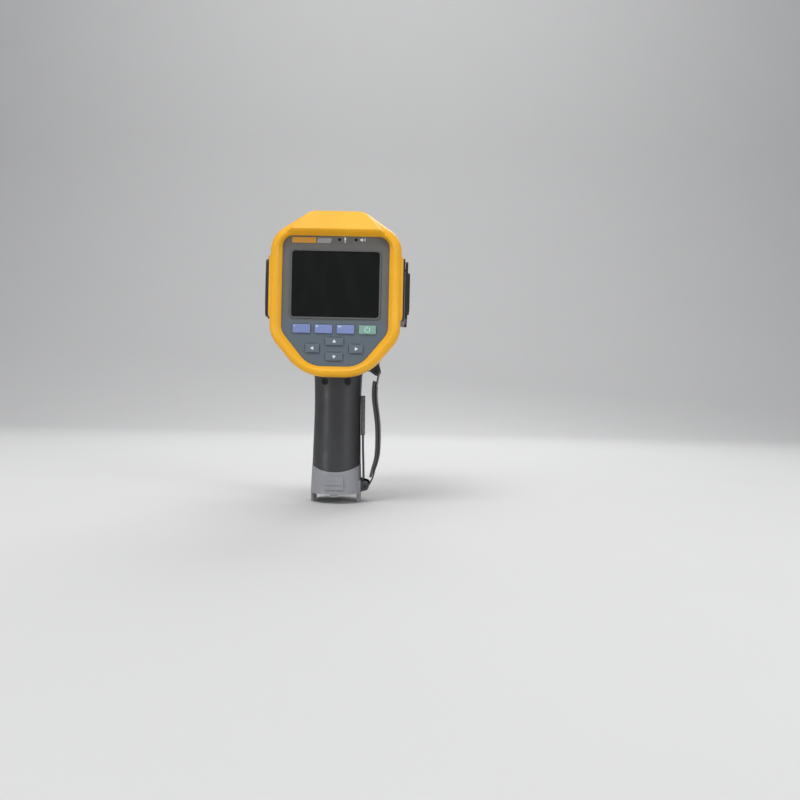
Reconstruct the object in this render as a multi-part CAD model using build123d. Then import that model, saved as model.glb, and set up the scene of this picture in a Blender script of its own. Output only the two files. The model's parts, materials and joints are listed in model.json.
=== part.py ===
from build123d import *
import math
import os

# A pistol-grip thermal imager, in millimetres.
# X is the operator's right, Y points forward to the lens, Z is up.
# The origin is the centre of the battery bay's mouth, at the foot of the handle.

# ---------------------------------------------------------------- driving dimensions

WALL = 2.5                 # moulded casing wall
GAP = 0.1                  # clearance between pieces that sit against each other
PIN_CLEARANCE = 0.05       # radial running clearance of pins and shafts

# Casing along Y
BEZEL_REAR = -56.0
BEZEL_FRONT = -43.0
LIP_FRONT = -51.5          # front of the bezel's lip, where the fascia's face lies
SHELL_REAR = -48.8
SHELL_FRONT = 58.0
COWL_FRONT = 94.0
CREST_REAR = -60.0         # rearmost line of the brow

# Outlines as (x, z) of the right-hand corners, from the top down, with their fillets
OUTLINE_RADII = (15.0, 22.0, 25.0, 40.0)
BEZEL_OUTLINE = ((22.0, 237.0), (53.9, 214.2), (53.9, 133.1), (26.0, 99.6))
RIM_OUTLINE = ((21.0, 232.0), (49.4, 211.9), (49.4, 134.7), (23.9, 104.1))
OPENING_OUTLINE = ((26.0, 215.2), (43.9, 215.1), (43.9, 136.6), (20.8, 108.3))
OPENING_RADII = (3.0, 9.0, 14.0, 22.0)
SHELL_REAR_OUTLINE = ((21.0, 233.5), (50.5, 212.5), (50.5, 133.1), (24.4, 101.8))
SHELL_MID_OUTLINE = ((21.0, 232.0), (49.5, 211.0), (49.5, 134.6), (24.0, 104.0))
SHELL_FRONT_OUTLINE = ((20.0, 228.0), (43.5, 208.0), (43.5, 134.0), (22.0, 108.5))
COWL_FRONT_OUTLINE = ((20.0, 226.0), (42.5, 207.0), (42.5, 136.0), (22.0, 111.0))

# Display and keys
DISPLAY_Z = 175.7
WINDOW = (71.8, 54.1)
FRAME_BORDER = 1.4
KEY_PROUD = 1.2
KEY_TRAVEL = 0.8
KEY_CLEARANCE = 0.25
KEY_EDGE = 0.6             # rounding of a key's pressed face
FLANGE = 0.8               # a key's skirt behind the fascia
SKIRT_FRONT = -47.9
DOME_TIP = SKIRT_FRONT + KEY_TRAVEL + 0.2
FASCIA_FRONT = -49.0
KEYS = {                   # name: (x, z, width, height, corner radius)
    "f1_key": (-27.2, 138.8, 14.7, 7.4, 1.4),
    "f2_key": (-9.1, 138.8, 14.7, 7.4, 1.4),
    "f3_key": (9.0, 138.8, 14.7, 7.4, 1.4),
    "power_key": (27.0, 138.8, 14.4, 7.4, 1.4),
    "up_key": (0.0, 128.7, 15.4, 6.7, 2.2),
    "left_key": (-17.9, 122.9, 11.8, 7.6, 2.4),
    "right_key": (17.9, 122.9, 11.8, 7.6, 2.4),
    "down_key": (0.0, 116.3, 14.4, 6.9, 2.2),
}

# Handle: (z, width, depth, corner radius)
HANDLE_SECTIONS = ((8.0, 41.2, 54.4, 19.0), (60.0, 40.0, 52.0, 18.5),
                   (96.0, 40.6, 53.4, 18.5), (118.0, 44.0, 60.0, 20.0))
COLLAR_SECTIONS = ((0.0, 43.5, 57.5, 20.0), (30.0, 41.2, 54.2, 19.0))
SEAM_RADIUS = 42.5         # the collar's hollowed top edge, an arc seen from behind
SEAM_CENTRE_Z = 61.7
BAY_TOP = 68.0
LINER = (34.2, 46.2, 16.5)
LINER_WALL = 1.5
NECK_SCREW_X = 10.0
NECK_SCREW_Z = 96.6

# Optics, on one axis along Y
LENS_Z = 186.0
RECESS_RADIUS = 30.5
RECESS_FLOOR = 84.0
FLANGE_RADIUS = 30.0
BARREL_RADIUS = 24.5
CELL_RADIUS = 19.5
CELL_BORE = 14.8
LENS_RADIUS = 16.6
LENS_SPHERE = 44.0
SEAT_RADIUS = 25.0
SEAT_BORE = 17.2
SEAT_LENGTH = 3.4
SEAT_REAR = 99.3
RING_REAR = 85.5
RING_FRONT = 99.0
RING_RADIUS = 29.0
FOCUS_TRAVEL = 1.2         # the cell slides this far each way from its middle position
CELL_REAR = 84.5
CELL_FRONT = SEAT_REAR - FOCUS_TRAVEL - 0.5

# Small windows in the cowl's front: (x, z, radius)
TORCH = (33.5, 161.0, 4.8)
CAMERA = (33.5, 148.0, 4.8)
LASER = (-33.5, 145.0, 3.4)

# Lens cover
COVER_PIVOT = (-29.3, 161.25)
COVER_RADIUS = 20.5
COVER_POCKET_RADIUS = 17.0
COVER_REAR = 103.6
COVER_FRONT = 106.4
COVER_PIN_RADIUS = 2.0
PARKED_Z = 2 * COVER_PIVOT[1] - LENS_Z

# Triggers: pin positions as (y, z)
PRIMARY_PIN = (18.0, 92.0)
SECONDARY_PIN = (18.0, 102.2)
TRIGGER_PIN_RADIUS = 1.2
TRIGGER_HALF = 8.0
SLOT_HALF = TRIGGER_HALF + 0.4
SECONDARY_NARROWER = 1.5
PRIMARY_SLOT = (73.6, 96.9)      # lower and upper edges
SECONDARY_SLOT = (97.8, 105.4)

# Side ports
PORT_REAR = -42.0
PORT_FRONT = 14.0
PORT_BOTTOM = 148.0
PORT_TOP = 200.0
PORT_OUTER = 57.0
DOOR_INNER = 57.3
DOOR_OUTER = 59.5
DOOR_HINGE = (58.4, 11.5)
DOOR_PIN_RADIUS = 0.8

# Hand strap
TOP_BAR = (33.5, 107.0)
LOW_BAR = (25.6, 6.0)
BAR_RADIUS = 1.9
PAD_WIDTH = 34.0
WEBBING_WIDTH = 25.0
PAD_THICKNESS = 3.0
WEBBING_THICKNESS = 1.4
TAIL_THICKNESS = 2.4


# ---------------------------------------------------------------- helpers

def along_y(sketch, y0, y1):
    """Fill Y from y0 to y1 with a sketch drawn in X and Z."""
    return extrude(Plane.XZ.offset(-y1) * sketch, amount=y1 - y0, dir=(0, -1, 0))


def along_x(sketch, x0, x1):
    """Fill X from x0 to x1 with a sketch drawn in Y and Z."""
    return extrude(Plane.YZ.offset(x0) * sketch, amount=x1 - x0, dir=(1, 0, 0))


def along_z(sketch, z0, z1):
    """Fill Z from z0 to z1 with a sketch drawn in X and Y."""
    return extrude(Pos(0, 0, z0) * sketch, amount=z1 - z0, dir=(0, 0, 1))


def block(x0, x1, y0, y1, z0, z1):
    """A box from its lowest to its highest corner."""
    centre = Pos((x0 + x1) / 2, (y0 + y1) / 2, (z0 + z1) / 2)
    return centre * Box(x1 - x0, y1 - y0, z1 - z0)


def disc_y(x, z, radius, y0, y1):
    """A cylinder along Y."""
    return along_y(Pos(x, z) * Circle(radius), y0, y1)


def disc_x(y, z, radius, x0, x1):
    """A cylinder along X."""
    return along_x(Pos(y, z) * Circle(radius), x0, x1)


def disc_z(x, y, radius, z0, z1):
    """A cylinder along Z."""
    return along_z(Pos(x, y) * Circle(radius), z0, z1)


def mirror_x(shape):
    """The same shape on the other side of the centre plane."""
    return mirror(shape, about=Plane.YZ)


def outline(corners, radii=OUTLINE_RADII, inset=0.0):
    """A closed casing outline, the same on both sides of the centre plane."""
    points = list(corners) + [(-x, z) for x, z in reversed(corners)]
    sketch = Polygon(*points, align=None)
    for (x, z), radius in zip(corners, radii):
        both = [v for v in sketch.vertices() if abs(abs(v.X) - x) < 0.01 and abs(v.Y - z) < 0.01]
        sketch = fillet(both, radius)
    return offset(sketch, -inset) if inset else sketch


def between(corners_a, corners_b, share):
    """Outline corners part of the way from one station to the next."""
    return tuple(
        (xa + (xb - xa) * share, za + (zb - za) * share)
        for (xa, za), (xb, zb) in zip(corners_a, corners_b)
    )


def loft_y(stations, inset=0.0):
    """Join outlines at their stations along Y with straight sides."""
    faces = [Plane.XZ.offset(-y) * outline(corners, inset=inset) for y, corners in stations]
    return loft(faces, ruled=True)


def tower(sections, inset=0.0):
    """Join rounded rectangles at their heights."""
    faces = [
        Pos(0, 0, z) * RectangleRounded(width - 2 * inset, depth - 2 * inset, radius - inset)
        for z, width, depth, radius in sections
    ]
    return loft(faces, ruled=len(faces) == 2)


def ribbon(points, thickness):
    """A band of even thickness along a smooth line through the points, as an X-Z sketch."""
    line = Spline(*points)
    steps = 4 * len(points)
    half = thickness / 2
    left = []
    right = []
    for i in range(steps + 1):
        here = line @ (i / steps)
        ahead = line % (i / steps)
        left.append((here.X - ahead.Y * half, here.Y + ahead.X * half))
        right.append((here.X + ahead.Y * half, here.Y - ahead.X * half))
    edge_a = Spline(*left)
    edge_b = Spline(*right)
    ends = [Line(left[0], right[0]), Line(left[-1], right[-1])]
    return make_face([edge_a, edge_b] + ends)


def save(name, shape):
    """Write one named piece."""
    export_step(shape, f"parts/{name}.step")


os.makedirs("parts", exist_ok=True)


# ---------------------------------------------------------------- head and handle shells

REAR_STATIONS = ((SHELL_REAR, SHELL_REAR_OUTLINE), (0.0, SHELL_MID_OUTLINE))
FRONT_STATIONS = ((0.0, SHELL_MID_OUTLINE), (SHELL_FRONT, SHELL_FRONT_OUTLINE))

head_outer = loft_y(REAR_STATIONS) + loft_y(FRONT_STATIONS)
head_inner = loft_y(REAR_STATIONS, WALL) + loft_y(FRONT_STATIONS, WALL)
handle_outer = tower(HANDLE_SECTIONS)
handle_inner = tower(HANDLE_SECTIONS, WALL)

# Everything above the curved seam between the handle and the collar
above_seam = disc_y(0, SEAM_CENTRE_Z, SEAM_RADIUS, -40, 40)
above_seam += block(-60, 60, -70, 70, SEAM_CENTRE_Z, 260)
below_seam = block(-60, 60, -40, 40, -20, SEAM_CENTRE_Z) - disc_y(
    0, SEAM_CENTRE_Z, SEAM_RADIUS + 2 * GAP, -40, 40)

BULKHEAD_REAR = SHELL_FRONT - WALL
LEDGE_REAR = -41.0
LEDGE_FRONT = -39.0

casing = head_outer + (handle_outer & above_seam) - head_inner - handle_inner
ledge = along_y(outline(between(SHELL_REAR_OUTLINE, SHELL_MID_OUTLINE, 0.18), inset=WALL - 0.3)
                - outline(between(SHELL_REAR_OUTLINE, SHELL_MID_OUTLINE, 0.18), inset=WALL + 2.2),
                LEDGE_REAR, LEDGE_FRONT)
ledge -= block(-60, 60, -50, 0, 90, 112)
bulkhead = along_y(outline(SHELL_FRONT_OUTLINE, inset=WALL - 0.4), BULKHEAD_REAR, SHELL_FRONT - 0.02)
bulkhead -= disc_y(0, LENS_Z, CELL_RADIUS + 1.0, BULKHEAD_REAR - 1, SHELL_FRONT + 1)

# Neck screws: countersunk recesses at the rear, bosses through to the front half
BOSS_RADIUS = 3.4
BOSS_FRONT = 11.5
SCREW_RADIUS = 1.5
HEAD_RADIUS = 2.9
HEAD_SEAT = -23.6
RECESS_MOUTH = 3.2
bosses = Part()
for side in (-1, 1):
    boss = disc_y(side * NECK_SCREW_X, NECK_SCREW_Z, BOSS_RADIUS + 0.6, -30, BOSS_FRONT)
    web = block(*sorted((side * (NECK_SCREW_X + 1), side * 20.0)), -10, BOSS_FRONT - 1.5,
                NECK_SCREW_Z - 1.0, NECK_SCREW_Z + 1.0)
    bosses += (boss + web) & handle_outer
casing = casing + ledge + bulkhead + bosses
for side in (-1, 1):
    x = side * NECK_SCREW_X
    casing -= disc_y(x, NECK_SCREW_Z, RECESS_MOUTH, -40, HEAD_SEAT)
    casing -= disc_y(x, NECK_SCREW_Z, SCREW_RADIUS + GAP, HEAD_SEAT - 1, BOSS_FRONT - 2)

rear_shell = casing & block(-70, 70, -80, -GAP / 2, 0, 260)
front_shell = casing & block(-70, 70, GAP / 2, 80, 0, 260)

# Trigger slots in the front of the handle
SECONDARY_SLOT_HALF = SLOT_HALF - SECONDARY_NARROWER
front_shell -= block(-SLOT_HALF, SLOT_HALF, 15, 40, *PRIMARY_SLOT)
front_shell -= block(-SECONDARY_SLOT_HALF, SECONDARY_SLOT_HALF, 15, 40, *SECONDARY_SLOT)

# Seal between the halves, let into the front half's edge
SEAL_DEPTH = 0.8
seal_ring = along_y(outline(SHELL_MID_OUTLINE, inset=0.8) - outline(SHELL_MID_OUTLINE, inset=1.7),
                    0, SEAL_DEPTH)
seal_ring &= block(-70, 70, 0, 5, 112, 260)
case_gasket = front_shell & seal_ring
front_shell -= seal_ring

save("case_gasket", case_gasket)

screws = Part()
for side in (-1, 1):
    x = side * NECK_SCREW_X
    screw = disc_y(x, NECK_SCREW_Z, HEAD_RADIUS, HEAD_SEAT - 2.0, HEAD_SEAT)
    screw += disc_y(x, NECK_SCREW_Z, SCREW_RADIUS, HEAD_SEAT - 0.5, BOSS_FRONT - 2.5)
    screw -= along_y(Pos(x, NECK_SCREW_Z) * RegularPolygon(1.5, 6), HEAD_SEAT - 2.1, HEAD_SEAT - 0.6)
    screws += screw
save("neck_screws", screws)


# ---------------------------------------------------------------- collar and battery bay

COLLAR_BORE_CLEARANCE = 0.15
PRONG = (2.8, 6.0, 1.0)     # width, depth and corner radius of a battery guide prong
PRONG_X = 20.0
PRONG_Y = 8.0
PRONG_TIP = -8.2
TAB = (6.0, 2.4, 1.0)      # the same for the rear tab
TAB_Y = -27.0
TAB_TIP = -2.2
collar = tower(COLLAR_SECTIONS) & below_seam
bay_bore = RectangleRounded(LINER[0] + 2 * COLLAR_BORE_CLEARANCE, LINER[1] + 2 * COLLAR_BORE_CLEARANCE,
                            LINER[2])
collar -= along_z(bay_bore, -1, 40)
for x in (-PRONG_X, PRONG_X):
    for y in (-PRONG_Y, PRONG_Y):
        collar += along_z(Pos(x, y) * RectangleRounded(*PRONG), PRONG_TIP, 4.0)
collar += along_z(Pos(0, TAB_Y) * RectangleRounded(*TAB), TAB_TIP, 3.0)

# A raised pad with a groove across it, on the rear and front of the collar
RELIEF_HALF = 8.0
RELIEF_FACE = 29.3
RELIEF_LOW = 4.0
RELIEF_HIGH = 15.5
GROOVE_Z = 7.6
GROOVE_DEPTH = 0.5
inside_wall = RectangleRounded(36.0, 50.0, 17.0)
relief = block(-RELIEF_HALF, RELIEF_HALF, 20, RELIEF_FACE, RELIEF_LOW, RELIEF_HIGH)
relief -= block(-RELIEF_HALF + 1.2, RELIEF_HALF - 1.2, RELIEF_FACE - GROOVE_DEPTH, 30,
                GROOVE_Z - 0.4, GROOVE_Z + 0.4)
relief -= along_z(inside_wall, 0, 20)
collar += relief
collar += mirror(relief, about=Plane.XZ)

# Lower strap lug: two ears on the collar's right side
EAR_INNER = WEBBING_WIDTH / 2 + 0.6
EAR_OUTER = EAR_INNER + 2.6
lug_profile = make_hull([
    *(Pos(*LOW_BAR) * Circle(3.6)).edges(),
    *(Pos(20.2, 6.0) * Rectangle(1.0, 10.0)).edges(),
])
bore = disc_y(*LOW_BAR, BAR_RADIUS + 0.02, -20, 20)
for y0, y1 in ((-EAR_OUTER, -EAR_INNER), (EAR_INNER, EAR_OUTER)):
    ear = along_y(lug_profile, y0, y1) - bore
    collar += ear - along_z(inside_wall, -5, 20)
save("collar", collar)

liner = along_z(RectangleRounded(*LINER), 0.6, BAY_TOP + 2.5)
liner -= along_z(RectangleRounded(LINER[0] - 2 * LINER_WALL, LINER[1] - 2 * LINER_WALL,
                                  LINER[2] - LINER_WALL), -1, BAY_TOP)
CONTACT_X = (-7.5, -2.5, 2.5, 7.5)
contacts = Part()
for x in CONTACT_X:
    slot = block(x - 0.6, x + 0.6, -4.0, 4.0, BAY_TOP - 1, BAY_TOP + 4)
    liner -= slot
    blade = block(x - 0.5, x + 0.5, -3.9, 3.9, BAY_TOP - 3.5, BAY_TOP + 3.8)
    contacts += blade
save("battery_liner", liner)
save("battery_contacts", contacts)


# ---------------------------------------------------------------- bezel and fascia

FASCIA_RIM = 3.0
BEZEL_ROUND = 6.0          # depth over which the ring swells from its rim to its full outline
rim_station = (BEZEL_REAR, RIM_OUTLINE)
full_station = (BEZEL_REAR + BEZEL_ROUND, BEZEL_OUTLINE)
bezel = loft_y((rim_station, full_station))
bezel += along_y(outline(BEZEL_OUTLINE), BEZEL_REAR + BEZEL_ROUND, BEZEL_FRONT)

# The brow: a sloped hood over the display
brow_side = Polygon((-45.0, 237.0), (-48.0, 237.0), (CREST_REAR, 221.0), (CREST_REAR, 219.0),
                    (-54.0, 215.4), (-45.0, 215.4), align=None)
brow_half = ((24.5, 236.98), (36.0, 220.5), (34.0, 215.3))
brow_plan = Polygon(*brow_half, *((-x, z) for x, z in reversed(brow_half)), align=None)
brow_solid = along_x(brow_side, -40, 40) & along_y(brow_plan, -64, -44)
bezel += brow_solid & along_y(outline(BEZEL_OUTLINE), -64, BEZEL_FRONT)

# Side lugs that guard the port doors
LUG_INNER = 52.0
LUG_OUTER = 55.6
for side in (-1, 1):
    lug_face = Polygon((LUG_INNER, PORT_TOP + 2.0), (LUG_OUTER, PORT_TOP - 2.0),
                       (LUG_OUTER, PORT_BOTTOM + 2.0), (LUG_INNER, PORT_BOTTOM - 2.0), align=None)
    lug = along_y(lug_face, BEZEL_REAR + BEZEL_ROUND, BEZEL_FRONT)
    bezel += lug if side == 1 else mirror_x(lug)

opening = outline(OPENING_OUTLINE, OPENING_RADII)
fascia_outline = offset(opening, FASCIA_RIM)
bezel -= along_y(opening, -64, LIP_FRONT + 1)
bezel -= along_y(offset(opening, FASCIA_RIM + GAP), LIP_FRONT, SHELL_REAR)
bezel -= loft_y(((SHELL_REAR - 0.15, SHELL_REAR_OUTLINE), (0.0, SHELL_MID_OUTLINE)), -0.15)
save("rear_bezel", bezel)

# The fascia, with its window, key holes, badge recess and two sensor holes
FRAME_OUTER = (WINDOW[0] + 2 * FRAME_BORDER, WINDOW[1] + 2 * FRAME_BORDER)
FRAME_CORNER = 3.5
WINDOW_CORNER = 2.4
SENSOR_X = (2.6, 16.2)
SENSOR_Z = 212.5
SENSOR_RADIUS = 1.2
BADGE = (-26.4, 211.5, 20.0, 4.6)
fascia = along_y(fascia_outline, LIP_FRONT + GAP / 2, FASCIA_FRONT)
frame_hole = RectangleRounded(FRAME_OUTER[0] + 2 * GAP, FRAME_OUTER[1] + 2 * GAP, FRAME_CORNER + GAP)
fascia -= along_y(Pos(0, DISPLAY_Z) * frame_hole, -60, -40)
for x, z, width, height, radius in KEYS.values():
    hole = Pos(x, z) * RectangleRounded(width + 2 * KEY_CLEARANCE, height + 2 * KEY_CLEARANCE,
                                        radius + KEY_CLEARANCE)
    fascia -= along_y(hole, -60, -40)
for x in SENSOR_X:
    fascia -= disc_y(x, SENSOR_Z, SENSOR_RADIUS + 0.05, -60, -40)
badge_slot = Pos(BADGE[0], BADGE[1]) * Rectangle(BADGE[2] + 2 * GAP, BADGE[3] + 2 * GAP)
fascia -= along_y(badge_slot, -60, LIP_FRONT + 1.2)
save("fascia", fascia)

badge = along_y(Pos(BADGE[0], BADGE[1]) * RectangleRounded(BADGE[2], BADGE[3], 0.8),
                LIP_FRONT - 0.3, LIP_FRONT + 1.15)
badge = badge - along_y(Rectangle(200, 600) - opening, -60, -40)
save("badge_strip", badge)

sensors = Part()
for x in SENSOR_X:
    sensors += disc_y(x, SENSOR_Z, SENSOR_RADIUS, LIP_FRONT + 0.6, FASCIA_FRONT + 2.0)
save("fascia_sensors", sensors)

# Display: raised frame, window and the module behind it
FRAME_PROUD = 0.7
WINDOW_THICKNESS = 1.4
MODULE = (77.0, 58.5, 1.5)
MODULE_REAR = -48.85
MODULE_THICKNESS = 4.2
frame_ring = RectangleRounded(*FRAME_OUTER, FRAME_CORNER)
frame_ring -= RectangleRounded(WINDOW[0] + GAP, WINDOW[1] + GAP, WINDOW_CORNER + GAP)
frame_ring = Pos(0, DISPLAY_Z) * frame_ring
save("display_frame", along_y(frame_ring, LIP_FRONT - FRAME_PROUD, FASCIA_FRONT - GAP))
window = Pos(0, DISPLAY_Z) * RectangleRounded(*WINDOW, WINDOW_CORNER)
save("display_window", along_y(window, LIP_FRONT, LIP_FRONT + WINDOW_THICKNESS))
module = Pos(0, DISPLAY_Z) * RectangleRounded(*MODULE)
save("display_module", along_y(module, MODULE_REAR, MODULE_REAR + MODULE_THICKNESS))


# ---------------------------------------------------------------- keys and boards

for name, (x, z, width, height, radius) in KEYS.items():
    cap_face = LIP_FRONT - KEY_PROUD
    cap = along_y(Pos(x, z) * RectangleRounded(width, height, radius), cap_face, SKIRT_FRONT)
    pressed_edges = cap.edges().filter_by_position(Axis.Y, cap_face - 0.01, cap_face + 0.01)
    cap = fillet(pressed_edges, KEY_EDGE)
    skirt = Pos(x, z) * RectangleRounded(width + 2 * FLANGE, height + 2 * FLANGE, radius + FLANGE)
    save(name, cap + along_y(skirt, FASCIA_FRONT + 2 * GAP, SKIRT_FRONT))

KEY_BOARD_REAR = -45.8
BOARD_THICKNESS = 1.6
DOME_RADIUS = 2.6
board_area = outline(between(SHELL_REAR_OUTLINE, SHELL_MID_OUTLINE, 0.1), inset=WALL + 1.2)
key_board = along_y(board_area, KEY_BOARD_REAR, KEY_BOARD_REAR + BOARD_THICKNESS)
key_board &= block(-60, 60, -60, 0, 108, 145.6)
for x, z, width, height, radius in KEYS.values():
    key_board += disc_y(x, z, DOME_RADIUS, DOME_TIP + GAP, KEY_BOARD_REAR + GAP)
save("key_board", key_board)

STANDOFF_X = 34.0
STANDOFF_Z = (152.0, 203.0)
BOARD_REAR = -30.0
CHASSIS_REAR = -43.0
STANDOFF_RADIUS = 3.0
BOARD_SCREW_RADIUS = 1.25
BOARD_SCREW_HEAD = 2.4
SPEAKER = (-20.0, 133.0)
chassis_area = outline(between(SHELL_REAR_OUTLINE, SHELL_MID_OUTLINE, 0.15), inset=WALL + 0.6)
chassis = along_y(chassis_area, CHASSIS_REAR, LEDGE_REAR - GAP)
chassis &= block(-60, 60, -60, 0, 112, 240)
board_front = BOARD_REAR + BOARD_THICKNESS
main_board = along_y(offset(chassis_area, -3.0), BOARD_REAR, board_front)
main_board &= block(-60, 60, -60, 0, 140, 225)
board_screws = Part()
for x in (-STANDOFF_X, STANDOFF_X):
    for z in STANDOFF_Z:
        chassis += disc_y(x, z, STANDOFF_RADIUS, CHASSIS_REAR, BOARD_REAR)
        chassis -= disc_y(x, z, BOARD_SCREW_RADIUS + PIN_CLEARANCE, -40.0, BOARD_REAR + 1)
        main_board -= disc_y(x, z, BOARD_SCREW_RADIUS + 0.15, BOARD_REAR - 1, board_front + 1)
        board_screws += disc_y(x, z, BOARD_SCREW_RADIUS, -38.0, board_front + 0.4)
        board_screws += disc_y(x, z, BOARD_SCREW_HEAD, board_front, board_front + 1.6)
CHIPS = ((-12.0, 182.0, 17.0, 17.0), (14.0, 190.0, 12.0, 9.0),      # x, z, width, height
         (12.0, 168.0, 14.0, 10.0), (-16.0, 158.0, 9.0, 9.0))
for x, z, width, height in CHIPS:
    main_board += block(x - width / 2, x + width / 2, board_front - GAP, board_front + 1.8,
                        z - height / 2, z + height / 2)
save("chassis_plate", chassis)
save("main_board", main_board)
save("board_screws", board_screws)
speaker_basket = disc_y(*SPEAKER, 8.5, -40.5, -35.0)
speaker_magnet = disc_y(*SPEAKER, 6.0, -35.1, -31.5)
save("speaker", speaker_basket + speaker_magnet)


# ---------------------------------------------------------------- front cowl and optics

BARREL_HOLE = BARREL_RADIUS + 0.2
cowl_outer = loft_y(((SHELL_FRONT + GAP, SHELL_FRONT_OUTLINE), (COWL_FRONT, COWL_FRONT_OUTLINE)))
front_edges = cowl_outer.edges().filter_by_position(Axis.Y, COWL_FRONT - 0.01, COWL_FRONT + 0.01)
cowl_outer = fillet(front_edges, 5.0)
cowl_inner = loft_y(((SHELL_FRONT + GAP, SHELL_FRONT_OUTLINE), (COWL_FRONT - WALL, COWL_FRONT_OUTLINE)), WALL)
cowl = cowl_outer - cowl_inner
cowl += disc_y(0, LENS_Z, RECESS_RADIUS + WALL, RECESS_FLOOR - WALL, COWL_FRONT - 1) & cowl_outer
cowl -= disc_y(0, LENS_Z, RECESS_RADIUS, RECESS_FLOOR, COWL_FRONT + 1)
cowl -= disc_y(0, LENS_Z, BARREL_HOLE, RECESS_FLOOR - 10, COWL_FRONT)

for x, z, radius in (TORCH, CAMERA, LASER):
    cowl += disc_y(x, z, radius + 1.6, COWL_FRONT - 6, COWL_FRONT - 1)
    cowl -= disc_y(x, z, radius + 0.05, COWL_FRONT - 10, COWL_FRONT + 1)
cowl -= disc_y(*COVER_PIVOT, COVER_PIN_RADIUS, COWL_FRONT - 8, COWL_FRONT + 1)

torch = disc_y(*TORCH, COWL_FRONT - 7, COWL_FRONT - 0.8)
torch -= disc_y(TORCH[0], TORCH[1], 3.4, COWL_FRONT - 1.6, COWL_FRONT)
save("torch_lens", torch)
camera = disc_y(*CAMERA, COWL_FRONT - 9, COWL_FRONT - 0.8)
camera -= disc_y(CAMERA[0], CAMERA[1], 3.6, COWL_FRONT - 2.2, COWL_FRONT)
camera += disc_y(CAMERA[0], CAMERA[1], 2.4, COWL_FRONT - 3, COWL_FRONT - 1.2)
save("visual_camera", camera)
laser = disc_y(*LASER, COWL_FRONT - 9, COWL_FRONT - 0.8)
laser -= disc_y(LASER[0], LASER[1], 1.6, COWL_FRONT - 2.0, COWL_FRONT)
save("laser_window", laser)
save("front_cowl", cowl)

# Fixed barrel with a flange on the bulkhead, the seat ring in front of it
barrel = disc_y(0, LENS_Z, FLANGE_RADIUS, SHELL_FRONT + 0.05, SHELL_FRONT + 4)
barrel += disc_y(0, LENS_Z, BARREL_RADIUS, SHELL_FRONT + 0.05, SEAT_REAR)
barrel -= disc_y(0, LENS_Z, CELL_RADIUS + PIN_CLEARANCE, SHELL_FRONT - 1, SEAT_REAR + 1)
save("lens_barrel", barrel)

seat = disc_y(0, LENS_Z, SEAT_RADIUS, SEAT_REAR, SEAT_REAR + SEAT_LENGTH)
seat_front = SEAT_REAR + SEAT_LENGTH
seat -= disc_y(0, LENS_Z, SEAT_BORE, SEAT_REAR - 1, seat_front + 1)
seat_front_edge = seat.edges().filter_by_position(Axis.Y, seat_front - 0.01, seat_front + 0.01)
seat = chamfer(seat_front_edge, 0.4)
save("front_ring", seat)

# Knurled focus ring
GROOVES = 36
GROOVE_RADIUS = 0.9
focus_ring = disc_y(0, LENS_Z, RING_RADIUS, RING_REAR, RING_FRONT)
ring_edges = focus_ring.edges().filter_by(GeomType.CIRCLE)
focus_ring = fillet(ring_edges, 0.8)
focus_ring -= disc_y(0, LENS_Z, BARREL_RADIUS + PIN_CLEARANCE, RING_REAR - 1, RING_FRONT + 1)
grooves = Sketch() + [
    Pos((RING_RADIUS + 0.2) * math.cos(math.tau * i / GROOVES),
        LENS_Z + (RING_RADIUS + 0.2) * math.sin(math.tau * i / GROOVES)) * Circle(GROOVE_RADIUS)
    for i in range(GROOVES)
]
focus_ring -= along_y(grooves, RING_REAR + 2.2, RING_FRONT - 2.2)
save("focus_ring", focus_ring)

# Sliding cell with the germanium front lens
LENS_SEAT = CELL_REAR + 5.0
cell = disc_y(0, LENS_Z, CELL_RADIUS, CELL_REAR, CELL_FRONT)
cell -= disc_y(0, LENS_Z, CELL_BORE, CELL_REAR - 1, CELL_FRONT + 1)
cell -= disc_y(0, LENS_Z, LENS_RADIUS + PIN_CLEARANCE, LENS_SEAT, CELL_FRONT + 1)
save("focus_cell", cell)
LENS_CROWN = CELL_FRONT - 0.8
lens = disc_y(0, LENS_Z, LENS_RADIUS, LENS_SEAT + GAP, CELL_FRONT)
lens &= Pos(0, LENS_CROWN - LENS_SPHERE, LENS_Z) * Sphere(LENS_SPHERE)
save("front_lens", lens)

# Detector block behind the bulkhead, with the swinging calibration flag
HOUSING_HALF = 24.0
HOUSING_REAR = 36.0
housing = block(-HOUSING_HALF, HOUSING_HALF, HOUSING_REAR, BULKHEAD_REAR - GAP,
                LENS_Z - HOUSING_HALF, LENS_Z + HOUSING_HALF)
housing -= block(-HOUSING_HALF + 2, HOUSING_HALF - 2, HOUSING_REAR + 2, BULKHEAD_REAR + 1,
                 LENS_Z - HOUSING_HALF + 2, LENS_Z + HOUSING_HALF - 2)
save("detector_housing", housing)
core = block(-14, 14, HOUSING_REAR + 2.1, HOUSING_REAR + 8, LENS_Z - 14, LENS_Z + 14)
core += block(-7.5, 7.5, HOUSING_REAR + 7.9, HOUSING_REAR + 11, LENS_Z - 7.5, LENS_Z + 7.5)
save("detector_core", core)
FLAG_PIVOT = (10.6, LENS_Z - 10.6)
FLAG_REST = (-4.2, LENS_Z - 13.2)
FLAG_RADIUS = 7.0
flag_sketch = make_hull([
    *(Pos(*FLAG_PIVOT) * Circle(3.0)).edges(),
    *(Pos(*FLAG_REST) * Circle(FLAG_RADIUS)).edges(),
])
flag = along_y(flag_sketch, 52.0, 52.6) - disc_y(*FLAG_PIVOT, 1.0 + PIN_CLEARANCE, 50, 54)
save("shutter_flag", flag)
motor = disc_y(FLAG_PIVOT[0] + 1.0, FLAG_PIVOT[1], 4.0, HOUSING_REAR + 11.5, 51.4)
motor += disc_y(*FLAG_PIVOT, 1.0, 51.0, 53.4)
save("shutter_motor", motor)

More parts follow.
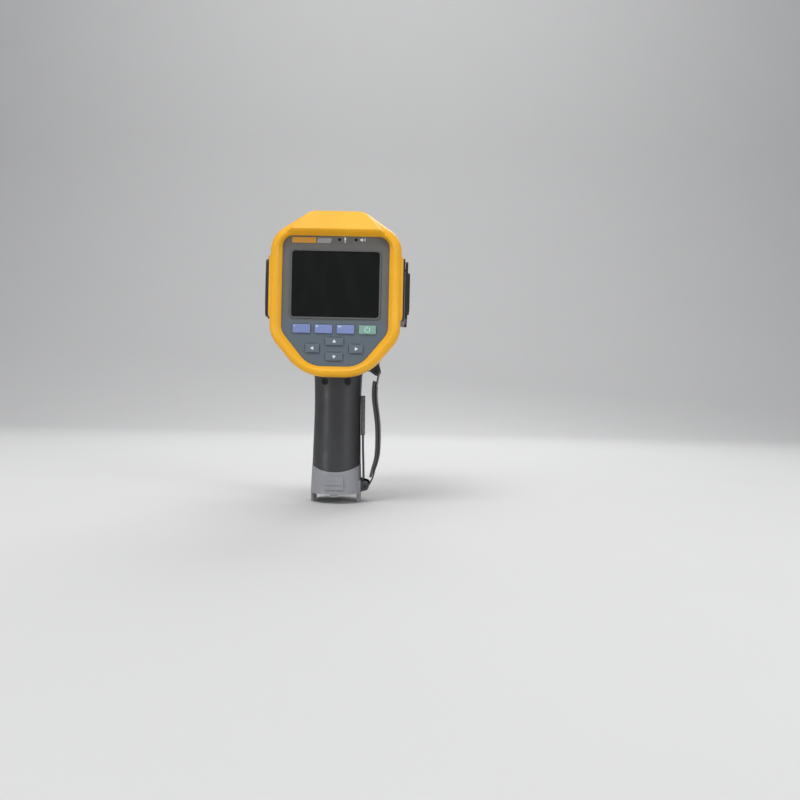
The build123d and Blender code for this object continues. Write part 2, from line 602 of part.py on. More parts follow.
# Lens cover on its pivot, parked below the lens
cover_sketch = make_hull([
    *(Pos(*COVER_PIVOT) * Circle(5.0)).edges(),
    *(Pos(0, PARKED_Z) * Circle(COVER_RADIUS)).edges(),
])
cover = along_y(cover_sketch, COVER_REAR, COVER_FRONT)
cover_edges = cover.edges().filter_by_position(Axis.Y, COVER_FRONT - 0.01, COVER_FRONT + 0.01)
cover = fillet(cover_edges, 1.0)
cover -= disc_y(0, PARKED_Z, COVER_POCKET_RADIUS, COVER_REAR - 1, COVER_REAR + 0.8)
thumb_tab = Pos(COVER_RADIUS - 2.5, PARKED_Z) * RectangleRounded(3.0, 12.0, 1.2)
cover += along_y(thumb_tab, COVER_FRONT - 0.5, COVER_FRONT + 0.6)
cover -= disc_y(*COVER_PIVOT, COVER_PIN_RADIUS + PIN_CLEARANCE, COVER_REAR - 1, COVER_FRONT + 1)
save("lens_cover", cover)
pivot_pin = disc_y(*COVER_PIVOT, COVER_PIN_RADIUS - 0.02, COWL_FRONT - 7, COVER_FRONT + 0.5)
pivot_pin += disc_y(*COVER_PIVOT, 3.6, COWL_FRONT + 0.05, COVER_REAR - GAP)
pivot_pin += disc_y(*COVER_PIVOT, 3.2, COVER_FRONT + GAP, COVER_FRONT + 0.9)
save("cover_pivot_pin", pivot_pin)


# ---------------------------------------------------------------- triggers

pin_bores = disc_x(*PRIMARY_PIN, TRIGGER_PIN_RADIUS + PIN_CLEARANCE, -20, 20)
pin_bores += disc_x(*SECONDARY_PIN, TRIGGER_PIN_RADIUS + PIN_CLEARANCE, -20, 20)

primary_side = Polygon((15.9, 94.8), (29.6, 96.2), (33.0, 90.5), (34.0, 84.0), (36.4, 76.2), (31.0, 75.2),
                       (24.0, 76.0), (21.2, 84.0), (15.9, 89.5), align=None)
primary_side = fillet(primary_side.vertices(), 1.2)
primary = along_x(primary_side, -TRIGGER_HALF, TRIGGER_HALF)
primary -= pin_bores
save("primary_trigger", primary)

SECONDARY_HALF = TRIGGER_HALF - SECONDARY_NARROWER
secondary_side = Polygon((16.2, 104.5), (30.0, 104.6), (33.4, 102.6), (33.8, 100.0), (31.0, 99.2),
                         (20.0, 99.4), (16.2, 100.0), align=None)
secondary_side = fillet(secondary_side.vertices(), 0.9)
secondary = along_x(secondary_side, -SECONDARY_HALF, SECONDARY_HALF)
secondary -= pin_bores
save("secondary_trigger", secondary)

CHEEK_INNER = SLOT_HALF + 0.2
CHEEK_OUTER = CHEEK_INNER + 2.2
bracket = block(-CHEEK_OUTER, CHEEK_OUTER, 12.2, 13.6, 75.5, 105.5)
for side in (-1, 1):
    x0, x1 = sorted((side * CHEEK_INNER, side * CHEEK_OUTER))
    bracket += block(x0, x1, 13.0, 20.2, 88.0, 105.0)
bracket -= pin_bores
save("trigger_bracket", bracket)
pins = disc_x(*PRIMARY_PIN, TRIGGER_PIN_RADIUS, -CHEEK_OUTER, CHEEK_OUTER)
pins += disc_x(*SECONDARY_PIN, TRIGGER_PIN_RADIUS, -CHEEK_OUTER, CHEEK_OUTER)
save("trigger_pins", pins)
switches = block(-3.2, 3.2, 13.7, 18.6, 77.5, 83.5) + block(-1.0, 1.0, 18.5, 19.2, 79.0, 81.0)
switches += block(-3.2, 3.2, 13.7, 15.2, 98.5, 103.5) + block(-1.0, 1.0, 15.1, 15.5, 100.2, 101.2)
save("trigger_switches", switches)


# ---------------------------------------------------------------- side ports and doors

EAR_HEIGHT = 1.8
POCKET_DEPTH = 3.3
port_box = block(44.0, PORT_OUTER, PORT_REAR, PORT_FRONT, PORT_BOTTOM, PORT_TOP)
vertical = port_box.edges().filter_by(Axis.X)
port_box = fillet(vertical, 2.0) - loft_y(REAR_STATIONS, -GAP) - loft_y(FRONT_STATIONS, -GAP)
port_box = port_box.solids().sort_by(Axis.X)[-1]
for z0, z1 in ((PORT_BOTTOM, PORT_BOTTOM + EAR_HEIGHT), (PORT_TOP - EAR_HEIGHT, PORT_TOP)):
    port_box += block(PORT_OUTER - 1.0, DOOR_HINGE[0] + 1.1, DOOR_HINGE[1] - 2.2, PORT_FRONT - 0.5, z0, z1)
port_box -= disc_z(*DOOR_HINGE, DOOR_PIN_RADIUS + 0.02, PORT_BOTTOM - 1, PORT_TOP + 1)
pocket = block(PORT_OUTER - POCKET_DEPTH, PORT_OUTER + 1, PORT_REAR + 5, PORT_FRONT - 8,
               PORT_BOTTOM + 6, PORT_TOP - 6)
port_box -= pocket
right_housing = port_box
save("right_port_housing", right_housing)
save("left_port_housing", mirror_x(right_housing))

SOCKET_BACK = PORT_OUTER - POCKET_DEPTH
sockets = Part()
SOCKET_WALL = 0.5
SOCKETS = ((-26.0, 188.0, 6.0, 2.4), (-26.0, 174.0, 4.5, 1.9),      # y, z, half depth, half height
           (-8.0, 181.0, 2.2, 6.5), (-18.0, 160.0, 8.0, 1.6))
for y, z, half_y, half_z in SOCKETS:
    shell = block(SOCKET_BACK, PORT_OUTER - 0.9, y - half_y, y + half_y, z - half_z, z + half_z)
    mouth_y = half_y - SOCKET_WALL
    mouth_z = half_z - SOCKET_WALL
    shell -= block(SOCKET_BACK + SOCKET_WALL, PORT_OUTER, y - mouth_y, y + mouth_y, z - mouth_z, z + mouth_z)
    sockets += shell
    sockets += mirror_x(shell)
save("port_sockets", sockets)

DOOR_BOTTOM = PORT_BOTTOM + EAR_HEIGHT + 0.2
DOOR_TOP = PORT_TOP - EAR_HEIGHT - 0.2
door = block(DOOR_INNER, DOOR_OUTER, -40.0, DOOR_HINGE[1], DOOR_BOTTOM, DOOR_TOP)
door = fillet(door.edges().filter_by(Axis.X).group_by(Axis.Y)[0], 4.0)
pad = block(DOOR_OUTER - 0.5, DOOR_OUTER + 1.8, -32.0, 4.0, 157.5, 190.0)
pad = fillet(pad.edges().filter_by(Axis.X), 4.0)
pad = fillet(pad.edges().filter_by_position(Axis.X, DOOR_OUTER + 1.7, DOOR_OUTER + 1.9), 1.0)
door = door + pad
door += disc_z(*DOOR_HINGE, 1.1, DOOR_BOTTOM, DOOR_TOP)
door -= disc_z(*DOOR_HINGE, DOOR_PIN_RADIUS + PIN_CLEARANCE, DOOR_BOTTOM - 1, DOOR_TOP + 1)
save("right_port_door", door)
save("left_port_door", mirror_x(door))
door_pin = disc_z(*DOOR_HINGE, DOOR_PIN_RADIUS, PORT_BOTTOM + 0.3, PORT_TOP - 0.3)
save("door_pins", door_pin + mirror_x(door_pin))


# ---------------------------------------------------------------- hand strap

# Upper bracket: a foot on the head's lower right slope, with two ears for the bar
FOOT_HALF = EAR_OUTER
SLOPE_ANGLE = 37.0         # lie of the head's rounded underside beside the bar
ear_root = Pos(29.6, 112.4) * Rotation(0, 0, SLOPE_ANGLE) * Rectangle(12.0, 1.0)
ear_profile = make_hull([*(Pos(*TOP_BAR) * Circle(3.6)).edges(), *ear_root.edges()])
foot_profile = Pos(29.3, 112.6) * Rotation(0, 0, SLOPE_ANGLE) * Rectangle(13.0, 5.0)
strap_bracket = Part()
for y0, y1 in ((-EAR_OUTER, -EAR_INNER), (EAR_INNER, EAR_OUTER)):
    strap_bracket += along_y(ear_profile, y0, y1)
strap_bracket += along_y(foot_profile, -FOOT_HALF, FOOT_HALF)
strap_bracket -= loft_y(REAR_STATIONS, -GAP)
strap_bracket -= loft_y(FRONT_STATIONS, -GAP)
strap_bracket -= disc_y(*TOP_BAR, BAR_RADIUS + 0.02, -20, 20)
strap_bracket = strap_bracket.solids().sort_by(SortBy.VOLUME)[-1]
save("strap_bracket", strap_bracket)

bars = disc_y(*TOP_BAR, BAR_RADIUS, -EAR_OUTER, EAR_OUTER)
bars += disc_y(*LOW_BAR, BAR_RADIUS, -EAR_OUTER, EAR_OUTER)
save("strap_bars", bars)

# Webbing: a loop round each bar, joined by the outer run, and the loose tail inside
LOOP_INNER = BAR_RADIUS + 0.1
LOOP_OUTER = LOOP_INNER + WEBBING_THICKNESS
OUTER_RUN = ((36.3, 106.0), (34.6, 96.0), (34.2, 82.0), (37.3, 58.0), (37.4, 34.0), (33.6, 13.0),
             (28.2, 4.6))
loops = Pos(*TOP_BAR) * Circle(LOOP_OUTER) + Pos(*LOW_BAR) * Circle(LOOP_OUTER)
eyes = Pos(*TOP_BAR) * Circle(LOOP_INNER) + Pos(*LOW_BAR) * Circle(LOOP_INNER)
webbing_sketch = ribbon(OUTER_RUN, WEBBING_THICKNESS) + loops - eyes
webbing = along_y(webbing_sketch, -WEBBING_WIDTH / 2, WEBBING_WIDTH / 2)
save("strap_webbing", webbing)

PAD_RUN = ((31.9, 98.0), (31.2, 90.0), (31.7, 80.0), (34.7, 58.0), (34.8, 34.0), (31.8, 20.0))
strap_pad = along_y(ribbon(PAD_RUN, PAD_THICKNESS), -PAD_WIDTH / 2, PAD_WIDTH / 2)
save("strap_pad", strap_pad)

TAIL_RUN = ((23.9, 11.2), (23.5, 24.0), (22.9, 40.0), (22.3, 60.0), (22.3, 85.0))
tail = along_y(ribbon(TAIL_RUN, TAIL_THICKNESS), -WEBBING_WIDTH / 2 + 1, WEBBING_WIDTH / 2 - 1)
save("strap_tail", tail)

# The two shells are written last, once every opening in them has been cut
save("rear_shell", rear_shell)
save("front_shell", front_shell)
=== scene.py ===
"""Looks of a pistol-grip thermal imager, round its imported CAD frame. Metres, +Z up, +Y to the lens."""
import json
import math

import bmesh
import bpy
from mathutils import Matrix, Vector


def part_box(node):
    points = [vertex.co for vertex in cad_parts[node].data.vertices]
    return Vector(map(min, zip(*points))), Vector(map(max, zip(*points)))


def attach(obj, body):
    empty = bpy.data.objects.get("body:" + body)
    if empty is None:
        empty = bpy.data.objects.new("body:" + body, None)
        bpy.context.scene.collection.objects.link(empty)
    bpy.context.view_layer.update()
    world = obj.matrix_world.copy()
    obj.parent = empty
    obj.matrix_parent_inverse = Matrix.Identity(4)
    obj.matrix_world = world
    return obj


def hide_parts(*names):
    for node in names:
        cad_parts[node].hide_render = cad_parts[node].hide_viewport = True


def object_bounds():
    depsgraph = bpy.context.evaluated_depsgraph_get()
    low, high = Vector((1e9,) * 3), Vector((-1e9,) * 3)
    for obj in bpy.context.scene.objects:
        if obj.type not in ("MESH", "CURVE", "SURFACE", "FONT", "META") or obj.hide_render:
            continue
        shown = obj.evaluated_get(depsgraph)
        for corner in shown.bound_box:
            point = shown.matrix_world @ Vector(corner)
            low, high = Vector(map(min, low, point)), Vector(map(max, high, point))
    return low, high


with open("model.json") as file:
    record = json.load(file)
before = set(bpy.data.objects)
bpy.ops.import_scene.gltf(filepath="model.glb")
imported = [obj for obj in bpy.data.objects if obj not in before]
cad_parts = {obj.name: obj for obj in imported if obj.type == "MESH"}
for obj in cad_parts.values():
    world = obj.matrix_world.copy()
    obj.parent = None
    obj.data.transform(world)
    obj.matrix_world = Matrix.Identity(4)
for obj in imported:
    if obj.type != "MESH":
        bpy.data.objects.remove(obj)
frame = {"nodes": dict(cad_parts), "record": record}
cad_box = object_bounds()
nodes = frame["nodes"]

MM = 0.001
SHARP_ANGLE = 35.0


# ---------------------------------------------------------------- mesh helpers

def new_piece(name, mesh, material, body, smooth_angle=SHARP_ANGLE):
    """Link a mesh as a visible piece that rides on a CAD body."""
    piece = bpy.data.objects.new(name, mesh)
    bpy.context.scene.collection.objects.link(piece)
    for polygon in mesh.polygons:
        polygon.use_smooth = True
    mesh.set_sharp_from_angle(angle=math.radians(smooth_angle))
    mesh.materials.append(material)
    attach(piece, body)
    return piece


def mesh_from(name, points, faces):
    """A mesh of these points, in metres, with its faces turned outward."""
    mesh = bpy.data.meshes.new(name)
    mesh.from_pydata([tuple(p) for p in points], [], faces)
    work = bmesh.new()
    work.from_mesh(mesh)
    bmesh.ops.recalc_face_normals(work, faces=work.faces)
    work.to_mesh(mesh)
    work.free()
    return mesh


def skin(name, loops, cap_first=False, cap_last=False, closed=False):
    """Join closed loops of equal point counts by quads, capped at the ends or closed into a ring."""
    count = len(loops[0])
    points = [p for loop in loops for p in loop]
    faces = []
    spans = len(loops) if closed else len(loops) - 1
    for i in range(spans):
        a = i * count
        b = ((i + 1) % len(loops)) * count
        for k in range(count):
            n = (k + 1) % count
            faces.append((a + k, a + n, b + n, b + k))
    if cap_first:
        faces.append(tuple(range(count)))
    if cap_last:
        last = (len(loops) - 1) * count
        faces.append(tuple(last + k for k in range(count)))
    return mesh_from(name, points, faces)


def rounded_rectangle(x, z, width, height, radius, steps=6):
    """Points of a rounded rectangle in X and Z, anticlockwise from its right side."""
    points = []
    for quarter, (sx, sz) in enumerate(((1, 1), (-1, 1), (-1, -1), (1, -1))):
        cx = x + sx * (width / 2 - radius)
        cz = z + sz * (height / 2 - radius)
        for i in range(steps + 1):
            angle = math.radians(90 * quarter + 90 * i / steps)
            points.append((cx + radius * math.cos(angle), cz + radius * math.sin(angle)))
    return points


def plate_y(name, outline, y_back, y_front, material, body):
    """A thin plate from an outline in X and Z."""
    loops = [[(x, y, z) for x, z in outline] for y in (y_front, y_back)]
    mesh = skin(name, loops, cap_first=True, cap_last=True)
    return new_piece(name, mesh, material, body)


def join_pieces(name, parts):
    """Merge finished meshes of one material into the first of them."""
    target = parts[0]
    work = bmesh.new()
    for part in parts:
        work.from_mesh(part.data)
    work.to_mesh(target.data)
    work.free()
    for part in parts[1:]:
        bpy.data.objects.remove(part)
    target.name = name
    for polygon in target.data.polygons:
        polygon.use_smooth = True
    target.data.set_sharp_from_angle(angle=math.radians(SHARP_ANGLE))


# ---------------------------------------------------------------- material helpers

class Shader:
    """Builds one procedural material round a Principled shader."""

    def __init__(self, name, roughness, metallic=0.0, specular=0.5):
        self.material = bpy.data.materials.new(name)
        self.material.use_nodes = True
        self.tree = self.material.node_tree
        self.principled = self.tree.nodes["Principled BSDF"]
        self.principled.inputs["Roughness"].default_value = roughness
        self.principled.inputs["Metallic"].default_value = metallic
        self.principled.inputs["Specular IOR Level"].default_value = specular
        self.coords = self.node("ShaderNodeTexCoord").outputs["Object"]

    def node(self, kind, **settings):
        """A new shader node with these settings."""
        made = self.tree.nodes.new(kind)
        for key, value in settings.items():
            setattr(made, key, value)
        return made

    def link(self, output, target):
        self.tree.links.new(output, target)

    def noise(self, scale, detail=3.0, stretch=None):
        """Noise in object coordinates, stretched along an axis if asked."""
        made = self.node("ShaderNodeTexNoise")
        made.inputs["Scale"].default_value = scale
        made.inputs["Detail"].default_value = detail
        source = self.coords
        if stretch:
            mapping = self.node("ShaderNodeMapping")
            mapping.inputs["Scale"].default_value = stretch
            self.link(source, mapping.inputs["Vector"])
            source = mapping.outputs["Vector"]
        self.link(source, made.inputs["Vector"])
        return made.outputs["Fac"]

    def ramp(self, value, low, high, to_low=0.0, to_high=1.0):
        """The value mapped from low..high to to_low..to_high, and held at its ends."""
        made = self.node("ShaderNodeMapRange")
        for key, amount in (("From Min", low), ("From Max", high), ("To Min", to_low), ("To Max", to_high)):
            made.inputs[key].default_value = amount
        self.link(value, made.inputs["Value"])
        return made.outputs["Result"]

    def math(self, operation, a, b=None):
        made = self.node("ShaderNodeMath", operation=operation)
        for index, value in enumerate((a, b)):
            if value is None:
                continue
            if isinstance(value, (int, float)):
                made.inputs[index].default_value = value
            else:
                self.link(value, made.inputs[index])
        return made.outputs["Value"]

    def mix(self, factor, colour_a, colour_b):
        made = self.node("ShaderNodeMix", data_type="RGBA")
        sockets = [s for s in made.inputs if s.type == "RGBA"]
        for socket, colour in zip(sockets, (colour_a, colour_b)):
            if isinstance(colour, tuple):
                socket.default_value = (*colour, 1.0)
            else:
                self.link(colour, socket)
        self.link(factor, made.inputs["Factor"])
        return [s for s in made.outputs if s.type == "RGBA"][0]

    def edges(self, radius):
        """How strongly the surface turns within the radius: 0 on flats, 1 at sharp edges."""
        bevel = self.node("ShaderNodeBevel", samples=4)
        bevel.inputs["Radius"].default_value = radius
        geometry = self.node("ShaderNodeNewGeometry")
        dot = self.node("ShaderNodeVectorMath", operation="DOT_PRODUCT")
        self.link(bevel.outputs["Normal"], dot.inputs[0])
        self.link(geometry.outputs["Normal"], dot.inputs[1])
        return self.ramp(dot.outputs["Value"], 0.995, 0.86)

    def bump(self, height, distance, strength=1.0, soften=0.0):
        """Bump from a height, over corners softened by a radius."""
        made = self.node("ShaderNodeBump")
        made.inputs["Strength"].default_value = strength
        made.inputs["Distance"].default_value = distance
        self.link(height, made.inputs["Height"])
        if soften:
            bevel = self.node("ShaderNodeBevel", samples=4)
            bevel.inputs["Radius"].default_value = soften
            self.link(bevel.outputs["Normal"], made.inputs["Normal"])
        self.link(made.outputs["Normal"], self.principled.inputs["Normal"])

    def colour(self, output):
        self.link(output, self.principled.inputs["Base Color"])

    def roughness(self, output):
        self.link(output, self.principled.inputs["Roughness"])


def tint(colour, amount):
    """A colour made lighter (over 1) or darker (under 1)."""
    return tuple(min(1.0, c * amount) for c in colour)


def moulded(name, colour, roughness=0.5, grain=0.35, grain_scale=2600.0, wear=1.5, soften=0.25,
            specular=0.4, second=None, split=None, axis="Z"):
    """Moulded plastic or rubber: fine grain, slow tone drift, rubbed edges and pale specks.

    A second colour takes over along the axis at the low end of the split.
    """
    s = Shader(name, roughness, specular=specular)
    drift = s.ramp(s.noise(22.0, 4.0), 0.3, 0.7)
    base = s.mix(drift, tint(colour, 0.93), tint(colour, 1.07))
    if second:
        place = s.node("ShaderNodeSeparateXYZ")
        s.link(s.coords, place.inputs["Vector"])
        base = s.mix(s.ramp(place.outputs[axis], split[0], split[1]), second, base)
    specks = s.ramp(s.noise(grain_scale * 0.5, 2.0), 0.62, 0.72, 0.0, 0.25)
    base = s.mix(specks, base, tint(colour, 1.35))
    rubbed = s.math("MULTIPLY", s.edges(0.5 * MM), s.ramp(s.noise(160.0, 4.0), 0.35, 0.7, 0.15, 0.7))
    s.colour(s.mix(rubbed, base, tint(colour, wear)))
    s.roughness(s.ramp(s.noise(95.0, 5.0), 0.3, 0.7, roughness - 0.07, roughness + 0.08))
    s.bump(s.noise(grain_scale, 2.0), 0.03 * MM, grain, soften * MM)
    return s.material


def metal(name, colour, roughness=0.35, turned=True):
    """Machined or pressed metal with fine tool lines and rubbed edges."""
    s = Shader(name, roughness, metallic=1.0)
    lines = s.noise(1400.0, 3.0, (0.12, 1.0, 0.12) if turned else (1.0, 0.1, 1.0))
    drift = s.ramp(s.noise(60.0, 3.0), 0.3, 0.7)
    base = s.mix(drift, tint(colour, 0.85), tint(colour, 1.1))
    s.colour(s.mix(s.edges(0.35 * MM), base, tint(colour, 1.7)))
    s.roughness(s.ramp(lines, 0.3, 0.7, roughness - 0.08, roughness + 0.12))
    s.bump(lines, 0.01 * MM, 0.4, 0.2 * MM)
    return s.material


def woven(name, colour, pitch, fuzz=0.3):
    """Nylon webbing: ribs across the strap, yarns along it, a little lint, and painted shade in the hollows
    of the weave.
    """
    s = Shader(name, 0.8, specular=0.25)
    s.principled.inputs["Sheen Weight"].default_value = 0.35
    s.principled.inputs["Sheen Roughness"].default_value = 0.5
    xyz = s.node("ShaderNodeSeparateXYZ")
    s.link(s.coords, xyz.inputs["Vector"])
    turn = math.tau / pitch
    across = s.math("SINE", s.math("MULTIPLY", xyz.outputs["Y"], turn))
    along = s.math("SINE", s.math("MULTIPLY", xyz.outputs["Z"], turn))
    weave = s.math("MULTIPLY", across, along)
    height = s.ramp(weave, -1.0, 1.0)
    lint = s.ramp(s.noise(420.0, 5.0), 0.45, 0.75, 0.0, fuzz)
    # Painted shade: the colour is darker in the low parts of the weave and lighter on its crowns, from the
    # same height as the bump.
    base = s.mix(height, tint(colour, 0.55), tint(colour, 1.25))
    s.colour(s.mix(lint, base, tint(colour, 2.6)))
    s.roughness(s.ramp(s.noise(240.0, 4.0), 0.3, 0.7, 0.7, 0.95))
    s.bump(s.math("ADD", height, s.math("MULTIPLY", s.noise(1800.0, 3.0), 0.8)), 0.12 * MM, 0.8)
    return s.material


def foam_cloth(name, colour, pile=0.5):
    """Brushed knit over foam, or the loop side of hook tape: no clear weave, all fuzz, with painted shade in
    the low loops.
    """
    s = Shader(name, 0.92, specular=0.2)
    s.principled.inputs["Sheen Weight"].default_value = 0.5
    s.principled.inputs["Sheen Roughness"].default_value = 0.4
    loops = s.noise(2300.0, 4.0)
    patches = s.ramp(s.noise(260.0, 5.0), 0.35, 0.7)
    # Painted shade: the colour is darker in the low loops and lighter on the high ones, from the same noise
    # as the bump.
    base = s.mix(s.ramp(loops, 0.35, 0.68), tint(colour, 0.45), tint(colour, 1.5))
    s.colour(s.mix(patches, base, tint(colour, 1.0 + pile)))
    s.roughness(s.ramp(patches, 0.0, 1.0, 0.82, 0.98))
    s.bump(loops, 0.25 * MM, 0.9)
    return s.material


def glossy(name, colour, roughness=0.08, specular=0.5, coat=0.0):
    """Smooth window or lens face with faint finger smears."""
    s = Shader(name, roughness, specular=specular)
    s.principled.inputs["Coat Weight"].default_value = coat
    smears = s.ramp(s.noise(75.0, 6.0, (1.0, 1.0, 0.35)), 0.45, 0.75)
    s.colour(s.mix(smears, colour, tint(colour, 1.6)))
    s.roughness(s.ramp(smears, 0.0, 1.0, roughness, roughness + 0.06))
    s.bump(s.noise(40.0, 2.0), 0.01 * MM, 0.2)
    return s.material


# ---------------------------------------------------------------- materials

YELLOW = (0.83, 0.41, 0.018)
CHARCOAL = (0.036, 0.037, 0.040)
PANEL = (0.118, 0.119, 0.115)
KEYPAD = (0.100, 0.128, 0.155)
COLLAR = (0.258, 0.262, 0.283)

mat = {
    "yellow_casing": moulded("yellow_casing", YELLOW, 0.42, 0.25, wear=1.2, specular=0.28),
    "charcoal_casing": moulded("charcoal_casing", CHARCOAL, 0.46, 0.4, wear=2.2),
    "grey_panel": moulded("grey_panel", PANEL, 0.55, 0.3, wear=1.4, second=KEYPAD,
                          split=(142 * MM, 152 * MM)),
    "collar_grey": moulded("collar_grey", COLLAR, 0.45, 0.3, wear=1.5, second=CHARCOAL,
                           split=(22.15 * MM, 22.0 * MM), axis="X"),
    "badge_yellow": moulded("badge_yellow", (0.56, 0.275, 0.04), 0.4, 0.1, wear=1.2),
    "window_black": glossy("window_black", (0.006, 0.0065, 0.0065), 0.12, 0.22),
    "frame_dark": moulded("frame_dark", (0.10, 0.102, 0.10), 0.38, 0.1, wear=1.9, soften=0.3),
    "blue_key": moulded("blue_key", (0.185, 0.240, 0.47), 0.52, 0.2, wear=1.3, soften=0.3),
    "green_key": moulded("green_key", (0.20, 0.345, 0.295), 0.52, 0.2, wear=1.3, soften=0.3),
    "grey_key": moulded("grey_key", (0.110, 0.138, 0.168), 0.5, 0.2, wear=1.6, soften=0.3),
    "black_rubber": moulded("black_rubber", (0.028, 0.028, 0.030), 0.62, 0.6, 1900.0, 2.0),
    "webbing": woven("webbing", (0.016, 0.016, 0.016), 1.5 * MM),
    "pad_fabric": foam_cloth("pad_fabric", (0.028, 0.027, 0.026)),
    "hook_tape": foam_cloth("hook_tape", (0.15, 0.147, 0.142), 0.9),
    "black_metal": metal("black_metal", (0.05, 0.05, 0.055), 0.38),
    "steel": metal("steel", (0.42, 0.42, 0.43), 0.32),
    "black_oxide": metal("black_oxide", (0.05, 0.05, 0.055), 0.42),
    "contact_metal": metal("contact_metal", (0.72, 0.50, 0.20), 0.28, turned=False),
    "germanium": glossy("germanium", (0.055, 0.045, 0.075), 0.06, 1.0, coat=0.6),
    "clear_glass": glossy("clear_glass", (0.03, 0.033, 0.04), 0.05, 0.7, coat=0.4),
    "laser_red": glossy("laser_red", (0.16, 0.008, 0.008), 0.08, 0.6),
    "circuit_board": moulded("circuit_board", (0.012, 0.12, 0.045), 0.4, 0.2, wear=1.6),
    "module_grey": metal("module_grey", (0.34, 0.35, 0.36), 0.42, turned=False),
    "inner_plastic": moulded("inner_plastic", (0.05, 0.05, 0.053), 0.55, 0.3, wear=1.8),
}
PRINT_WHITE = moulded("print_white", (0.72, 0.74, 0.76), 0.5, 0.1, wear=1.1, soften=0.05)
PRINT_GREY = moulded("print_grey", (0.30, 0.30, 0.31), 0.5, 0.1, wear=1.1, soften=0.05)
PRINT_TEAL = moulded("print_teal", (0.42, 0.68, 0.60), 0.5, 0.1, wear=1.1, soften=0.05)
THREAD = woven("thread", (0.07, 0.068, 0.064), 0.5 * MM, 0.1)

for row in frame["record"]["subparts"]:
    node = nodes[row["node"]]
    node.data.materials.clear()
    node.data.materials.append(mat[row["material_slot"]])


# ---------------------------------------------------------------- camera, floor and light

OBJECT_LOW = cad_box[0].z
CAMERA_AT = (0.0549, -0.655, 0.0819)
CAMERA_ROLL = -1.2
SENSOR_WIDTH = 36
FOCAL_LENGTH = 33.1
SKY_COLOUR = (0.95, 0.965, 1.0, 1)
SKY_STRENGTH = 0.36

camera_data = bpy.data.cameras.new("camera")
camera = bpy.data.objects.new("camera", camera_data)
bpy.context.scene.collection.objects.link(camera)
camera.location = CAMERA_AT
camera.rotation_euler = (math.radians(90), math.radians(CAMERA_ROLL), 0)
camera_data.sensor_width = SENSOR_WIDTH
camera_data.lens = FOCAL_LENGTH
bpy.context.scene.camera = camera

world = bpy.data.worlds.new("studio")
bpy.context.scene.world = world
world.use_nodes = True
sky = world.node_tree.nodes["Background"]
sky.inputs["Color"].default_value = SKY_COLOUR
sky.inputs["Strength"].default_value = SKY_STRENGTH
bpy.context.scene.view_settings.view_transform = "Standard"

# A pale sweep: a floor that turns up into a wall beyond the object
SWEEP_HALF = 6.0
SWEEP_START = -5.0
SWEEP_BEND = 1.3
SWEEP_RADIUS = 1.2
SWEEP_TOP = 5.0
SWEEP_STEPS = 24
profile = [(SWEEP_START, OBJECT_LOW), (-1.5, OBJECT_LOW), (0.0, OBJECT_LOW)]
for i in range(SWEEP_STEPS + 1):
    angle = math.radians(90 * i / SWEEP_STEPS)
    profile.append((SWEEP_BEND + SWEEP_RADIUS * math.sin(angle),
                    OBJECT_LOW + SWEEP_RADIUS * (1 - math.cos(angle))))
profile.append((SWEEP_BEND + SWEEP_RADIUS, SWEEP_TOP))
sweep_points = [(x, y, z) for y, z in profile for x in (-SWEEP_HALF, SWEEP_HALF)]
sweep_faces = [(2 * i, 2 * i + 1, 2 * i + 3, 2 * i + 2) for i in range(len(profile) - 1)]
floor_mesh = bpy.data.meshes.new("floor")
floor_mesh.from_pydata(sweep_points, [], sweep_faces)
for polygon in floor_mesh.polygons:
    polygon.use_smooth = True
floor = bpy.data.objects.new("floor", floor_mesh)
bpy.context.scene.collection.objects.link(floor)
floor_shader = Shader("floor", 0.85, specular=0.1)
floor_tone = floor_shader.noise(6.0, 3.0)
floor_shader.colour(floor_shader.mix(floor_tone, (0.58, 0.58, 0.58), (0.60, 0.60, 0.60)))
floor_mesh.materials.append(floor_shader.material)


def softbox(name, location, size, power, target=(0.0, 0.0, 0.15)):
    """A square area light aimed at the object."""
    data = bpy.data.lights.new(name, "AREA")
    data.energy = power
    data.size = size
    light = bpy.data.objects.new(name, data)
    bpy.context.scene.collection.objects.link(light)
    light.location = location
    light.rotation_mode = "QUATERNION"
    light.rotation_quaternion = (Vector(target) - Vector(location)).to_track_quat("-Z", "Y")


softbox("key_light", (-0.45, -0.80, 1.45), 0.7, 13.0)
softbox("side_light", (0.95, -0.80, 0.45), 0.5, 5.0)
softbox("low_light", (-0.75, -0.75, -0.02), 0.25, 4.6)
softbox("front_light", (0.2, 1.1, 1.1), 0.8, 8.0)
softbox("wall_light", (0.0, 0.6, 2.6), 2.2, 34.0, (0.0, 2.6, 0.4))


# ---------------------------------------------------------------- bezel

# Outlines in X and Z millimetres, right half only, each corner from the top down with its round and depth
BEZEL_FRONT_Y = -43.0
LIP_Y = -51.5
RECESS_Y = -48.95
OUTER = ((22.0, 237.0), (53.9, 214.2), (53.9, 133.1), (26.0, 99.6))
OUTER_RADII = (15.0, 22.0, 25.0, 40.0)
OUTER_Y = (-47.0, -49.5, -49.5, -49.5)
CREST = ((35.5, 219.5), (49.4, 211.6), (49.4, 134.7), (23.9, 104.2))
CREST_RADII = (2.5, 19.0, 22.0, 34.0)
CREST_Y = (-60.0, -56.6, -56.0, -56.0)
OPENING = ((26.0, 215.2), (43.9, 215.1), (43.9, 136.6), (20.8, 108.3))
OPENING_RADII = (3.0, 9.0, 14.0, 22.0)
OPENING_Y = -52.3
HIDDEN_STEP = 2.8
HIDDEN_RADII = (3.0, 11.8, 16.8, 24.8)
SHELL_EDGE = ((21.2, 234.0), (50.75, 212.8), (50.75, 132.9), (24.5, 101.6))
SHELL_EDGE_RADII = (14.0, 21.0, 24.0, 39.0)


def lerp(a, b, share):
    """The value part of the way from a to b."""
    return a + (b - a) * share


